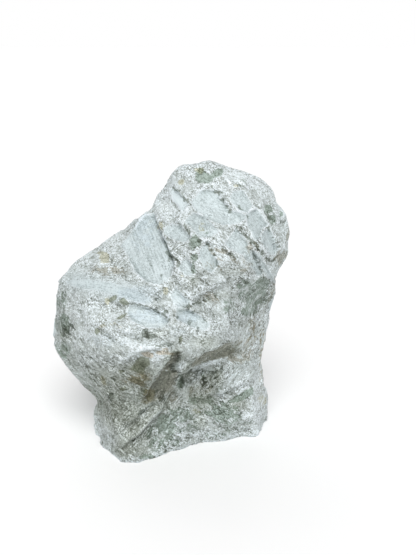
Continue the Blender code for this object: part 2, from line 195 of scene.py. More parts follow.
# Flat chisel facets on the front: outline, its first edge along the torn wall, then how far it is sunk.
# Those without a depth are smooth ground, not flattened.
facets = {
    "chip": ([(4, 191), (12, 180), (9, 174), (1, 185), (-1, 192)], 0.8),
    "broad": ([(31, 191), (44, 175), (51, 174), (56, 171), (50, 166), (37, 165), (27, 169), (18, 176),
               (14, 181), (19, 186), (23, 192)], 0.9),
    "topRight": ([(53, 191), (60, 180), (56, 174), (50, 176), (42, 183), (45, 190)], 0.4),
    "leftOfCentre": ([(26, 171), (34, 160), (29, 155), (22, 155), (14, 163), (9, 167), (16, 174)], 0.3),
    "farLeft": ([(6, 165), (14, 156), (11, 152), (2, 153), (-6, 159), (-3, 165)], 0.7),
    "right": ([(63, 177), (72, 165), (67, 162), (65, 154), (61, 154), (56, 164), (55, 172),
               (59, 176)], 0.7),
    "centre": ([(48, 164), (57, 152), (58, 146), (53, 142), (48, 144), (40, 151), (44, 157)], 0.9),
    "farRight": ([(73, 162), (80, 148), (76, 142), (72, 143), (66, 153), (68, 161)], 0.8),
    "wedge": ([(27, 151), (34, 133), (29, 128), (24, 131), (20, 141), (22, 149)], 0.7),
    "besideWedge": ([(11, 140), (15, 135), (15, 128), (11, 126), (4, 132), (8, 137)], 0.3),
    "lowRight": ([(61, 146), (68, 127), (64, 125), (58, 136), (53, 139), (55, 146)], 0.3),
    "lowRightTail": ([(63, 146), (72, 133), (78, 120), (72, 124), (68, 128), (62, 144)], 0.3),
    "striated": ([(-13, 174), (2, 135), (-1, 125), (-9, 119), (-20, 121), (-28, 130), (-33, 142),
                  (-37, 149), (-29, 160), (-20, 172)], 1),
    "tongue": ([(2, 117), (14, 105), (9, 99), (3, 101), (-2, 111)], 0.6),
    "underStep": ([(-33, 102), (-22, 101), (-11, 96), (-2, 89), (-8, 84), (-20, 84), (-31, 90),
                   (-35, 96)], 0.55),
    "underShortStep": ([(3, 100), (13, 98), (22, 93), (29, 86), (24, 81), (13, 85), (3, 91)], 0.6),
    "trough": ([(-80, 121), (-65, 123), (-50, 121), (-33, 116), (-22, 111), (-15, 106), (-18, 102),
                (-28, 105), (-41, 110), (-57, 114), (-71, 116)], None),
}

# Torn walls: line, width, strength. Dark, from the stone's own colour and from painted shadow on the wall,
# rough and a little sunk.
walls = [
    ([(2, 192), (7, 189), (10, 184), (13, 180)], 3.6, 1),
    ([(-3, 186), (1, 182), (4, 177), (8, 174)], 1.8, 0.8),
    ([(30, 193), (34, 188), (39, 181), (43, 175)], 3.2, 1), ([(33, 190), (37, 189)], 3, 0.9),
    ([(36, 187), (40, 180)], 5, 0.8), ([(50, 179), (53, 174), (56, 171)], 2.8, 0.8),
    ([(6, 165), (9, 164), (14, 157)], 3, 1), ([(48, 165), (53, 159), (57, 154)], 3.6, 0.8),
    ([(55, 157), (60, 152), (64, 147), (69, 142)], 3.6, 1), ([(71, 163), (76, 155), (80, 149)], 2.6, 1),
    ([(63, 180), (69, 174), (75, 168)], 4, 0.6), ([(26, 152), (31, 143), (34, 133)], 2.6, 1),
    ([(20, 153), (25, 153), (28, 150)], 2.4, 1), ([(-10, 167), (-6, 159), (-3, 149), (0, 142)], 3.6, 0.7),
    ([(-2, 144), (2, 139), (5, 135)], 4.2, 1), ([(31, 154), (37, 149), (42, 143), (48, 140)], 4.2, 0.7),
    ([(60, 144), (64, 136), (67, 128)], 2, 0.9), ([(67, 146), (71, 139), (75, 137), (78, 141)], 2.4, 0.9),
    ([(-31, 103), (-25, 102), (-19, 101), (-13, 97), (-8, 95), (-2, 90)], 2.6, 1),
    ([(-5, 96), (-1, 95), (3, 92)], 4, 0.8), ([(8, 101), (14, 98), (20, 95), (26, 89)], 2.6, 1),
    ([(11, 101), (16, 103), (22, 105), (29, 109), (35, 110)], 4, 0.9),
    ([(-56, 134), (-53, 132), (-48, 130)], 2.4, 0.5), ([(-44, 129), (-40, 128), (-34, 125)], 3, 0.6),
    ([(-32, 78), (-26, 77), (-18, 75)], 2.2, 0.9), ([(-21, 81), (-19, 78)], 3.4, 0.9),
    ([(-14, 78), (-8, 77)], 2.4, 0.6), ([(-13, 69), (-7, 68), (-1, 68)], 2.4, 0.9),
    ([(5, 75), (5, 70)], 2.2, 0.8), ([(1, 63), (-3, 56), (-9, 48), (-15, 40)], 2.6, 0.6),
    ([(3, 63), (4, 57)], 3.2, 1), ([(-2, 52), (2, 47), (7, 46)], 2.4, 0.8),
    ([(8, 47), (7, 40), (10, 33)], 3, 1), ([(18, 47), (25, 48), (32, 46), (38, 51)], 2.4, 0.8),
    ([(21, 41), (28, 40), (34, 42)], 3.4, 0.7), ([(34, 20), (43, 23), (51, 26), (57, 30)], 2.2, 0.7),
    ([(57, 4), (60, 8)], 2.6, 0.7), ([(-30, 9), (-24, 13)], 3.4, 0.8),
    ([(-51, -25), (-43, -22), (-33, -14), (-25, -6), (-18, 4), (-13, 13)], 1.8, 0.7),
    ([(-46, -18), (-37, -11), (-28, -4)], 1.6, 0.5), ([(-54, 29), (-50, 23), (-49, 18)], 3.2, 0.7),
    ([(-69, 58), (-63, 58), (-58, 54)], 3.2, 0.6), ([(-69, 50), (-64, 45), (-62, 38)], 3.2, 0.6),
    ([(-50, 43), (-45, 39)], 2.4, 0.7), ([(-18, 139), (-15, 133)], 1.4, 0.7),
    ([(-10, 132), (-7, 124)], 1.4, 0.6), ([(-18, 162), (-9, 146)], 1, 0.6),
    ([(10, 110), (14, 105)], 1.4, 0.8), ([(-2, 107), (1, 104)], 1.4, 0.8),
]

# Patches with a plain outline: mineral colour, and in the warm ones a brown stain with painted shade in the
# valley and under the belly.
panes = {
    "green": [
        [(18, 204), (22, 207), (26, 204), (31, 202), (31, 198), (28, 196), (21, 196), (18, 199)],
        [(29, 203), (33, 207), (37, 207), (39, 205), (37, 202), (31, 199)],
        [(49, 26), (62, 34), (63, 28), (55, 22), (47, 20), (40, 20)],
    ],
    "olive": [
        [(-25, 61), (-19, 58), (-18, 53), (-22, 50), (-23, 45), (-29, 46), (-34, 49), (-30, 55)],
        [(-50, 106), (-46, 109), (-42, 111), (-42, 107), (-47, 104)],
        [(-41, 105), (-37, 109), (-34, 106), (-31, 103), (-37, 102)],
        [(-43, 92), (-38, 95), (-34, 96), (-37, 92), (-41, 90)],
    ],
    "peach": [[(-25, 63), (-20, 64), (-15, 62), (-16, 58), (-23, 60)]],
    "warmStainAndShade": [
        [(0, 63), (5, 63), (3, 56), (-2, 50), (4, 46), (2, 38), (-4, 30), (-12, 22), (-21, 19),
         (-28, 18), (-24, 26), (-17, 37), (-11, 46), (-4, 55)],
        [(12, 50), (18, 58), (25, 63), (33, 66), (42, 72), (46, 69), (49, 63), (41, 59), (25, 55)],
    ],
    "pale": [
        facets["chip"][0],
        [(-21, 66), (-10, 63), (1, 64), (-2, 60), (-10, 57), (-17, 55), (-18, 58), (-15, 62)],
        [(15, 49), (25, 54), (37, 58), (39, 55), (25, 51), (18, 48)],
    ],
}

# Coloured patches with a broken edge, the warm ones partly painted shade: across, up, half width, half
# height, how fully they cover.
patches = {
    "green": [
        (17, 152, 4, 5, 0.85), (17, 140, 3, 3, 0.85), (16, 129, 1.6, 8, 0.75), (71, 177, 4, 4, 0.7),
        (74, 169, 3.5, 3.5, 0.85), (80, 173, 2.5, 2, 0.7), (50, 198, 6, 5, 0.4), (56, 118, 8, 6, 0.6),
        (68, 119, 6, 6, 0.75), (63, 108, 13, 9, 0.66), (43, 102, 5, 8, 0.6), (58, 98, 9, 6, 0.6),
        (26, 159, 4, 3, 0.4), (-85, 106, 6, 9, 0.6), (-84, 86, 7, 11, 0.75), (-85, 66, 7, 9, 0.7),
        (5, 9, 12, 8, 0.7), (-7, 0, 10, 12, 0.7), (-13, -18, 10, 8, 0.6), (21, 22, 14, 5, 0.6),
        (37, 12, 14, 9, 0.7), (48, 12, 6, 6, 0.7), (-20, -29, 10, 4, 0.6), (33, -9, 12, 4, 0.5),
        (-41, 27, 14, 8, 0.3), (-65, 41, 10, 8, 0.4), (5, 38, 3, 9, 0.6), (25, 5, 44, 18, 0.44),
        (-5, -10, 22, 16, 0.5), (25, 33, 18, 14, 0.45), (43, 8, 18, 10, 0.5),
    ],
    "ochre": [
        (-50, 140, 4, 5, 1), (8, 197, 2.5, 2, 1), (47, 194, 2, 1.6, 0.8), (-8, 164, 2.5, 4, 0.7),
        (23, 163, 3, 5, 0.5), (-5, 114, 1.4, 3, 1), (-54, 85, 3, 2, 0.7), (-48, 86, 10, 5, 0.4),
        (-49, 106, 2, 3, 1), (-55, 40, 3, 4, 0.6), (70, 22, 4, 6, 0.6), (18, 13, 5, 2.5, 0.6),
        (8, 126, 2, 2, 0.6), (21, 205, 3, 2, 0.8), (-28, 40, 9, 5, 0.7), (-19, 27, 4, 6, 0.9),
        (63, 82, 10, 12, 0.4), (70, 65, 4, 24, 0.4),
    ],
    "olive": [
        (-44, 139, 5, 4, 0.4), (-4, 153, 3, 6, 0.5), (-58, 81, 2, 3, 0.9), (-27, 41, 9, 6, 0.35),
        (-19, 27, 4, 6, 0.3), (-40, 32, 3, 2, 0.8), (-41, 47, 3, 2, 0.7), (60, 7, 3, 3, 0.5),
        (6, 74, 1.5, 3.5, 0.8), (-52, 88, 9, 4, 0.42), (-46, 91, 8, 3, 0.42), (-23, 27, 8, 8, 0.5),
        (-39, 132, 6, 3, 0.4),
    ],
    "cool": [
        (-26, 111, 16, 7, 0.9), (-17, 93, 14, 6, 0.9), (-21, 162, 10, 14, 0.7), (13, 93, 10, 5, 0.8),
        (-48, 73, 20, 6, 0.6), (-6, 82, 18, 5, 0.6), (6, 106, 8, 5, 0.5),
    ],
    "peach": [(-8, 63, 6, 2, 0.8), (-2, 62, 3, 1.5, 0.7), (-6, 66, 3, 2, 0.6)],
    "warmStainAndShade": [
        (40, 136, 14, 6, 0.45), (53, 133, 8, 5, 0.5), (29, 109, 8, 5, 0.6), (-8, 35, 8, 12, 0.5),
        (63, 82, 10, 12, 0.5), (54, 65, 10, 12, 0.5), (70, 65, 4, 24, 0.6), (46, 61, 5, 8, 0.7),
        (21, 33, 14, 8, 0.6), (84, 136, 6, 12, 0.6), (37, 146, 7, 5, 0.6), (-46, 130, 12, 4, 0.7),
        (-1, 24, 6, 4, 0.6), (60, 146, 5, 6, 0.4), (86, 157, 3, 16, 0.4), (-28, 41, 11, 6, 0.8),
    ],
    "pale": [
        (6, 52, 5, 4, 0.8), (14, 207, 14, 6, 0.6), (43, 191, 20, 6, 0.5), (-71, 78, 12, 8, 0.7),
        (-69, 120, 12, 5, 0.6), (-45, 71, 24, 6, 0.5), (-76, 69, 8, 5, 0.7), (6, 82, 22, 8, 0.5),
        (-9, 132, 12, 10, 0.5), (3, 109, 8, 8, 0.4), (21, 69, 16, 6, 0.6), (56, 35, 8, 4, 0.7),
        (64, 13, 8, 12, 0.8), (1, -3, 7, 6, 0.9), (11, -11, 8, 5, 0.8), (23, 3, 7, 7, 0.8),
        (-12, -27, 12, 4, 0.6), (-37, 68, 9, 5, 0.5), (-40, 56, 7, 4, 0.7), (21, 124, 8, 8, 0.5),
        (12, 109, 8, 6, 0.5), (53, -9, 8, 4, 0.6), (66, -7, 4, 3, 0.8), (-61, 0, 6, 14, 0.4),
        (30, 102, 10, 8, 0.4),
    ],
    "dark": [
        (-81, 83, 6, 8, 0.6), (-21, 80, 3, 3.5, 1), (-15, 77, 5, 2, 0.8), (-28, 75, 4, 1.5, 0.7),
        (-4, 70, 5, 1.5, 0.8), (13, 88, 2, 2, 0.8), (19, 82, 1.5, 3, 0.7), (3, 59, 3, 4, 1),
        (-1, 51, 3, 3, 0.9), (7, 37, 2.5, 6, 0.9), (-9, 24, 3, 3, 0.9), (-50, 24, 2.5, 5, 0.7),
        (-26, 12, 4, 2.5, 0.8), (-39, 2, 5, 5, 0.4), (-76, 57, 8, 8, 0.4), (1, 139, 4, 3, 0.8),
        (28, 37, 8, 4, 0.6), (-40, -10, 14, 4, 0.4), (-11, 27, 6, 6, 0.6), (13, 46, 5, 4, 0.5),
        (38, 48, 3, 4, 0.5),
    ],
}

# How light or dark the ground is, as painted shade and painted light with some of its own tone, over wide
# soft spots: across, up, half width, half height, amount.
paintedShadeAndTone = [
    (-83, 90, 8, 20, -0.1), (-73, 114, 14, 10, -0.05), (-73, 72, 14, 10, -0.08), (-58, 35, 26, 26, -0.19),
    (-18, 40, 18, 22, -0.12), (-6, 36, 10, 12, -0.08), (-14, 29, 7, 7, 0.12), (21, 34, 17, 13, -0.16),
    (59, 114, 20, 12, -0.03), (-42, 6, 16, 12, -0.2), (-36, -24, 20, 8, -0.24), (-32, -10, 16, 10, -0.1),
    (3, 18, 16, 8, -0.1), (32, 116, 18, 10, 0.02), (52, 20, 10, 6, -0.08), (-1, 83, 16, 8, -0.09),
    (25, 72, 18, 8, -0.12), (-1, 55, 7, 8, -0.12), (33, 45, 8, 12, -0.14), (-3, -4, 20, 12, -0.05),
    (41, -3, 22, 6, -0.12), (14, -14, 12, 5, -0.16), (40, 18, 20, 8, -0.1), (21, 4, 8, 9, -0.26),
    (53, 57, 14, 20, -0.05), (52, 48, 12, 12, 0.03), (-40, 65, 18, 5, -0.08), (-40, 88, 20, 8, -0.04),
    (-25, 157, 14, 16, -0.1), (-16, 136, 14, 12, -0.05), (28, 174, 26, 14, -0.04), (-1, 180, 8, 12, 0.05),
    (80, 168, 8, 24, 0.06), (69, 52, 6, 40, 0.06), (52, 201, 14, 6, 0.06), (11, 55, 9, 8, -0.16),
    (37, 125, 18, 8, -0.05), (2, 139, 5, 8, 0.06), (64, 141, 10, 8, 0.04), (32, 58, 12, 6, -0.06),
    (-26, 43, 16, 12, -0.2), (-36, 15, 12, 14, -0.2), (-55, 20, 10, 12, -0.12), (22, 20, 9, 6, -0.2),
    (-3, 16, 9, 6, -0.13), (18, 28, 12, 7, -0.12), (25, 70, 14, 7, -0.15), (39, 111, 10, 6, -0.17),
    (13, 101, 8, 5, -0.14), (0, 92, 5, 5, -0.12), (-15, 17, 6, 8, -0.14), (32, 40, 7, 5, -0.14),
    (54, 17, 10, 7, -0.12), (69, 34, 5, 7, 0.18), (61, 87, 9, 10, -0.1), (-71, 85, 10, 4, -0.12),
    (-46, 109, 6, 4, -0.1), (16, 121, 7, 6, -0.24), (45, 130, 16, 6, -0.15), (39, 148, 5, 5, -0.14),
    (58, 162, 7, 10, -0.14), (23, 167, 12, 5, -0.12), (-18, 78, 14, 4, -0.16), (-85, 79, 8, 6, -0.17),
    (-79, 57, 7, 10, -0.13), (82, 136, 5, 10, -0.09), (7, 97, 8, 5, -0.12), (48, 158, 8, 6, -0.1),
    (-50, 43, 20, 16, -0.08), (-61, 101, 12, 7, 0.18), (0, 178, 12, 9, 0.14), (23, 200, 7, 5, 0.16),
    (-49, 152, 20, 6, 0.08), (-68, 139, 12, 8, 0.08), (-6, 187, 5, 12, 0.12), (57, 200, 12, 5, 0.1),
    (-6, 97, 6, 4, 0.12), (-30, 61, 7, 4, 0.2), (3, 77, 7, 6, 0.08), (60, 7, 4, 4, 0.12),
    (22, -7, 8, 4, 0.08), (21, 47, 8, 3, 0.06), (-38, 81, 10, 5, 0.08), (-9, 63, 8, 3, 0.1),
    (6, 52, 5, 4.5, 0.3), (-10, 54, 8, 7, 0.1), (-24, 111, 14, 7, -0.1), (-17, 92, 14, 6, 0.1),
    (14, 93, 9, 5, 0.1), (39, 176, 40, 36, 0.06), (-47, 71, 18, 6, -0.07), (-4, 83, 18, 7, -0.08),
    (7, 108, 9, 6, 0.08), (0, 54, 6, 8, -0.22), (-29, 1, 14, 9, -0.05), (63, 113, 16, 12, -0.06),
    (-25, 53, 7, 6, -0.08), (-18, 70, 24, 5, -0.06), (-31, -12, 14, 10, -0.08),
]

# The same painted shade and painted light along lines: line, half width, amount.
shadeLines = [
    ([(-10, 22), (-20, 7), (-32, -6), (-42, -17)], 3.5, -0.12),
    ([(-33, 59), (-28, 65), (-21, 69), (-12, 71), (-2, 68)], 2.4, 0.16),
    ([(48, 68), (38, 63), (29, 60), (19, 55), (11, 48)], 5, -0.26),
    ([(2, 61), (-4, 51), (-14, 36), (-22, 23)], 7, -0.24),
    ([(7, 43), (3, 33), (-5, 24), (-14, 11), (-28, -6)], 6, -0.06),
    ([(15, 49), (26, 53), (37, 58)], 2.4, 0.2),
    ([(11, 45), (21, 45), (32, 41), (36, 46)], 4, -0.08),
    ([(-54, 22), (-50, 0), (-43, -23)], 6, -0.08),
]

# Long strokes left in the surface: from, to, half width, strength, how bare they leave it.
strokes = {
    "trough": ((-82, 124), (-17, 108), 8, 1, 0.7),
    "underTrough": ((-40, 86), (21, 65), 8, 0.4, 0.1),
    "rightRim": ((80, 183), (86, 149), 5, 0.8, 0.2),
    "rightNeck": ((86, 149), (76, 124), 6, 0.9, 0.2),
    "rightSide": ((62, 90), (65, 35), 10, 0.5, 0),
    "lobeEdge": ((-89, 70), (-56, 20), 7, 0.8, 0),
    "valley": ((4, 62), (-26, 17), 8, 1, 0.3),
    "ledge": ((38, 24), (62, 46), 7, 0.5, 0),
    "slab": ((41, 33), (64, 63), 7, 0.7, 0.25),
    "column": ((-1, 27), (-47, -23), 8, 0.7, 0),
    "rib": ((6, 43), (13, 6), 5, 0.6, 0),
    "band": ((11, 50), (47, 70), 5, 0.9, 0.3),
    "baseEdge": ((72, 46), (72, 5), 5, 0.6, 0),
    "backLump": ((-60, 22), (-51, -27), 6, 0.5, 0),
}

# Ground left smooth, without broken faces: across, up, half width, half height, amount.
smooth = [
    (-47, 117, 42, 8, 1), (-7, 38, 12, 16, 0.7), (-27, 3, 18, 12, 0.6), (56, 65, 14, 24, 0.5),
    (40, 108, 20, 6, 0.4), (48, 44, 12, 10, 0.4), (-10, 63, 14, 6, 0.5), (84, 161, 5, 20, 0.6),
    (21, 36, 18, 12, 0.6), (-34, 162, 16, 14, 0.7), (73, 22, 5, 24, 0.5), (-60, -4, 8, 16, 0.4),
    (-21, 86, 30, 6, 0.4),
]

# Ground painted calmer, with less of the crust's grain, in the same form.
calm = [
    (32, 183, 60, 40, 0.4), (-31, 153, 40, 24, 0.6), (56, 61, 18, 26, 0.3), (-47, 118, 40, 8, 0.5),
    (-64, 69, 24, 12, 0.6), (-17, 82, 34, 14, 0.8), (-48, 94, 30, 10, 0.7), (-45, 71, 28, 9, 1),
    (21, 81, 20, 12, 0.8), (-6, 83, 22, 8, 0.7), (13, 78, 24, 14, 0.5), (52, 44, 14, 14, 0.5),
    (-2, 118, 16, 10, 0.5),
]

# Ground whose grain lies down to the left, not to the right, in the same form.
turned = [
    (-4, 40, 14, 22, 1), (-27, -3, 26, 18, 1), (21, 40, 20, 14, 0.8), (52, 40, 14, 12, 0.9),
    (65, 82, 14, 34, 1), (70, 27, 6, 30, 1), (82, 153, 8, 30, 1), (3, 5, 18, 14, 0.5),
]

# Steps in the ground: line, height, reach. Going along the line, the ground on its right is the lower.
ledges = [
    ([(-68, 137), (-56, 133), (-43, 130), (-31, 125)], 0.3, 5),
    ([(-85, 128), (-66, 125), (-42, 120), (-20, 113)], 0.5, 4),
    ([(-81, 121), (-62, 118), (-39, 113), (-17, 105)], 0.6, 4),
    ([(-77, 114), (-58, 112), (-37, 107)], 0.4, 3),
    ([(-46, 106), (-34, 104), (-17, 100), (-4, 89)], 1.2, 6),
    ([(3, 100), (13, 96), (25, 86)], 0.9, 5),
    ([(-41, 53), (-33, 61), (-24, 65), (-12, 68), (-1, 66), (5, 62)], 1.2, 7),
    ([(-26, 20), (-19, 34), (-12, 45), (-5, 55), (2, 63)], 4.5, 9),
    ([(8, 50), (15, 55), (23, 63), (32, 68), (43, 73)], 4, 8),
    ([(13, 46), (25, 52), (38, 57), (42, 52)], 2.6, 6),
    ([(-46, -24), (-28, -8), (-13, 12), (-3, 26), (7, 43)], 3.2, 9),
    ([(-44, -13), (-31, -3), (-21, 12), (-9, 21), (0, 29)], -1.6, 6),
    ([(11, 6), (8, 26), (6, 41)], -1.5, 5),
    ([(10, 33), (14, 22), (25, 20), (33, 26), (38, 36)], -1.6, 6),
    ([(23, 23), (40, 29), (52, 35), (62, 40)], 1, 6),
    ([(-47, -23), (-35, -14), (-23, -4), (-14, 10), (-7, 26)], 1, 7),
    ([(10, 100), (19, 104), (30, 109), (41, 116)], -1.2, 7),
]

# Lumps, and with a height below 0 hollows: across, up, reach, height.
lumps = [
    (6, 52, 4, 2.5), (12, 41, 5, -3), (25, 33, 8, -2), (-10, 69, 9, 1.5), (-27, 53, 7, -1.2),
    (58, 30, 6, 1.5), (-35, 68, 8, 1.2), (-53, 65, 10, 1.2), (-18, 55, 5, 1.2), (47, 46, 8, 1),
]

# Which marks each side carries. The other sides' are in the same form as the front's above.
sides = {
    "front": {
        "facets": facets, "walls": walls, "panes": panes, "patches": patches, "paintedShadeAndTone": paintedShadeAndTone,
        "shadeLines": shadeLines, "strokes": strokes, "smooth": smooth, "calm": calm, "turned": turned,
        "ledges": ledges, "lumps": lumps,
    },
    "back": {
        "facets": {
            "head": ([(20, 194), (44, 175), (56, 150), (42, 146), (25, 157), (9, 177), (11, 190)], 0.8),
            "underHead": ([(58, 150), (70, 128), (61, 116), (46, 122), (41, 138)], 0.6),
            "waist": ([(10, 150), (30, 131), (24, 120), (7, 122), (-4, 136)], 0.5),
            "shoulder": ([(-20, 138), (-6, 118), (-18, 107), (-33, 117), (-37, 130)], 0.7),
            "shoulderEdge": ([(-44, 126), (-58, 104), (-70, 99), (-71, 111), (-58, 127)], 0.5),
            "middle": ([(-2, 104), (16, 84), (10, 66), (-9, 71), (-20, 88)], 0.8),
            "besideMiddle": ([(46, 102), (61, 84), (56, 77), (43, 91)], 0.4),
            "low": ([(-40, 82), (-22, 56), (-27, 48), (-40, 60), (-47, 74)], 0.5),
            "foot": ([(22, 50), (54, 34), (52, 27), (27, 35)], 0.3),
        },
        "walls": [
            ([(18, 197), (30, 188), (46, 174)], 3.4, 0.9), ([(58, 152), (66, 140), (71, 128)], 2.6, 0.9),
            ([(11, 152), (22, 141), (31, 131)], 2.6, 0.8), ([(-19, 140), (-11, 128), (-5, 117)], 3, 0.9),
            ([(-43, 128), (-51, 116), (-59, 103)], 2.2, 0.8), ([(-1, 106), (8, 95), (18, 83)], 3.2, 1),
            ([(45, 101), (54, 93), (62, 82)], 2.4, 0.8), ([(-39, 82), (-30, 70), (-22, 57)], 2.8, 0.9),
            ([(20, 50), (33, 45), (46, 38)], 2.2, 0.7), ([(-8, 58), (2, 50), (8, 38)], 2.2, 0.7),
            ([(-62, 90), (-54, 84), (-50, 76)], 2.4, 0.7), ([(34, 118), (44, 112), (50, 104)], 2.6, 0.7),
            ([(60, 60), (66, 48), (68, 36)], 2.2, 0.6), ([(-30, 34), (-20, 28), (-12, 18)], 2.4, 0.7),
        ],
        "strokes": {
            "spine": ((8, 120), (34, 60), 8, 0.7, 0.2), "edge": ((74, 170), (72, 104), 7, 0.8, 0.2),
            "flank": ((-72, 90), (-56, 30), 8, 0.7, 0.2), "shoulder": ((-56, 140), (-6, 168), 7, 0.8, 0.5),
        },
        "patches": {
            "green": [
                (30, 104, 12, 7, 0.8), (-48, 62, 9, 13, 0.8), (58, 44, 12, 8, 0.7), (-8, 30, 16, 8, 0.6),
                (12, 180, 6, 5, 0.8), (68, 164, 6, 9, 0.6), (-24, 100, 5, 4, 0.8), (-66, 112, 6, 6, 0.6),
            ],
            "ochre": [
                (-21, 92, 4, 3, 0.9), (40, 72, 6, 3, 0.8), (-58, 120, 4, 4, 0.8), (5, 141, 3, 3, 0.9),
            ],
            "olive": [
                (-25, 96, 4, 3, 0.8), (36, 117, 4, 3, 0.8), (58, 94, 3, 4, 0.7), (0, 56, 4, 3, 0.7),
            ],
            "warmStainAndShade": [
                (0, 60, 30, 12, 0.6), (-72, 80, 8, 26, 0.5), (72, 100, 8, 36, 0.5), (20, 130, 16, 8, 0.6),
            ],
            "pale": [
                (-30, 112, 20, 10, 0.7), (42, 142, 18, 10, 0.6), (2, 92, 20, 9, 0.6),
                (50, 62, 14, 10, 0.6),
            ],
            "dark": [
                (-3, 117, 3, 3, 0.9), (32, 128, 3, 3, 0.9), (-24, 57, 3, 4, 0.8), (62, 126, 3, 4, 0.7),
            ],
        },
        "paintedShadeAndTone": [
            (30, 120, 30, 8, -0.12), (-40, 52, 24, 16, -0.08), (10, 20, 60, 12, -0.08),
            (30, 172, 24, 16, 0.06), (-50, 112, 20, 14, 0.08), (0, 88, 24, 14, 0.06),
            (52, 70, 16, 16, 0.06), (-12, 60, 16, 12, -0.06),
        ],
        "calm": [(30, 165, 40, 40, 0.5), (-50, 110, 26, 20, 0.5), (0, 84, 26, 20, 0.4)],
        "turned": [(44, 60, 40, 50, 1)],
    },
    "left": {
        "facets": {
            "high": ([(30, 150), (44, 126), (34, 112), (15, 119), (10, 139)], 0.6),
            "middle": ([(48, 101), (60, 77), (53, 71), (40, 88)], 0.5),
            "low": ([(6, 84), (24, 62), (16, 46), (-3, 54), (-9, 72)], 0.5),
        },
        "walls": [
            ([(30, 152), (38, 140), (45, 126)], 2.8, 0.9), ([(48, 102), (55, 90), (59, 77)], 2.6, 0.9),
            ([(6, 86), (16, 74), (25, 61)], 3, 1), ([(30, 46), (39, 36), (47, 25)], 2.4, 0.8),
            ([(-6, 112), (4, 104), (10, 94)], 2.4, 0.7), ([(-18, 48), (-12, 36), (-10, 24)], 2.2, 0.7),
        ],
        "strokes": {
            "flank": ((24, 112), (2, 50), 9, 0.7, 0.2), "corner": ((62, 110), (60, 40), 7, 0.7, 0.2),
        },
        "patches": {
            "green": [
                (20, 58, 12, 9, 0.8), (50, 42, 8, 12, 0.8), (-2, 104, 6, 8, 0.7), (-30, 30, 8, 10, 0.6),
            ],
            "ochre": [(38, 100, 4, 4, 0.8), (-8, 56, 3, 5, 0.7), (18, 22, 5, 3, 0.7)],
            "olive": [(34, 98, 4, 3, 0.8), (8, 92, 3, 3, 0.8)],
            "warmStainAndShade": [(0, 30, 20, 12, 0.6), (60, 90, 8, 20, 0.5), (10, 100, 12, 8, 0.5)],
            "pale": [(28, 122, 16, 12, 0.7), (-6, 70, 12, 10, 0.6), (42, 66, 12, 10, 0.6)],
            "dark": [(26, 60, 3, 4, 0.8), (58, 78, 3, 3, 0.7), (-12, 34, 3, 5, 0.6)],
        },
        "paintedShadeAndTone": [(26, 128, 16, 12, 0.08), (10, 22, 40, 10, -0.1), (40, 54, 16, 10, -0.08)],
        "calm": [(24, 124, 24, 24, 0.5), (4, 64, 20, 20, 0.4)],
        "turned": [(50, 50, 20, 40, 1)],
    },
    "right": {
        "facets": {
            "head": ([(20, 186), (40, 160), (30, 140), (9, 148), (4, 171)], 0.6),
            "behindHead": ([(50, 150), (62, 124), (54, 107), (39, 116), (37, 138)], 0.5),
            "middle": ([(12, 120), (34, 98), (28, 78), (7, 84), (0, 104)], 0.6),
            "low": ([(46, 87), (61, 62), (55, 54), (40, 72)], 0.5),
            "foot": ([(8, 58), (27, 34), (20, 28), (3, 46)], 0.3),
        },
        "walls": [
            ([(20, 188), (31, 174), (41, 159)], 3, 0.9), ([(50, 152), (57, 138), (63, 124)], 2.6, 0.9),
            ([(12, 122), (24, 110), (35, 97)], 3, 1), ([(46, 88), (54, 75), (61, 61)], 2.6, 0.8),
            ([(6, 58), (16, 47), (25, 35)], 2.6, 0.9), ([(-6, 132), (2, 122), (4, 112)], 2.2, 0.7),
            ([(30, 34), (38, 26), (42, 16)], 2.2, 0.7),
        ],
        "strokes": {
            "edge": ((-6, 180), (-8, 120), 6, 0.7, 0.2), "flank": ((24, 74), (16, 14), 9, 0.7, 0.2),
        },
        "patches": {
            "green": [
                (32, 130, 10, 8, 0.8), (50, 32, 12, 10, 0.7), (8, 68, 8, 7, 0.7), (4, 160, 5, 8, 0.6),
            ],
            "ochre": [(22, 74, 5, 4, 0.7), (44, 102, 3, 5, 0.7), (-4, 90, 3, 8, 0.5)],
            "olive": [(36, 96, 4, 3, 0.8), (28, 138, 3, 3, 0.8)],
            "warmStainAndShade": [(20, 36, 20, 16, 0.5), (-6, 110, 6, 20, 0.5), (40, 100, 10, 8, 0.5)],
            "pale": [(18, 112, 14, 16, 0.6), (20, 164, 12, 14, 0.6), (46, 62, 10, 12, 0.6)],
            "dark": [(34, 98, 3, 4, 0.8), (41, 160, 3, 4, 0.7), (24, 36, 3, 3, 0.7)],
        },
        "paintedShadeAndTone": [
            (20, 160, 16, 16, 0.08), (16, 100, 14, 14, 0.06), (30, 20, 36, 10, -0.1),
            (36, 100, 12, 20, -0.06),
        ],
        "calm": [(22, 160, 26, 30, 0.5), (16, 100, 20, 20, 0.4)],
        "turned": [(50, 60, 20, 60, 1)],
    },
}

outside = -9.0      # mm inside an outline that isn't drawn on a point's side at all


def placed(name, content):
    made = bpy.data.objects.new(name, content)
    bpy.context.scene.collection.objects.link(made)
    return made


def meshed(name, work):
    # a bmesh's shape as a mesh
    mesh = bpy.data.meshes.new(name)
    work.to_mesh(mesh)
    work.free()
    return mesh


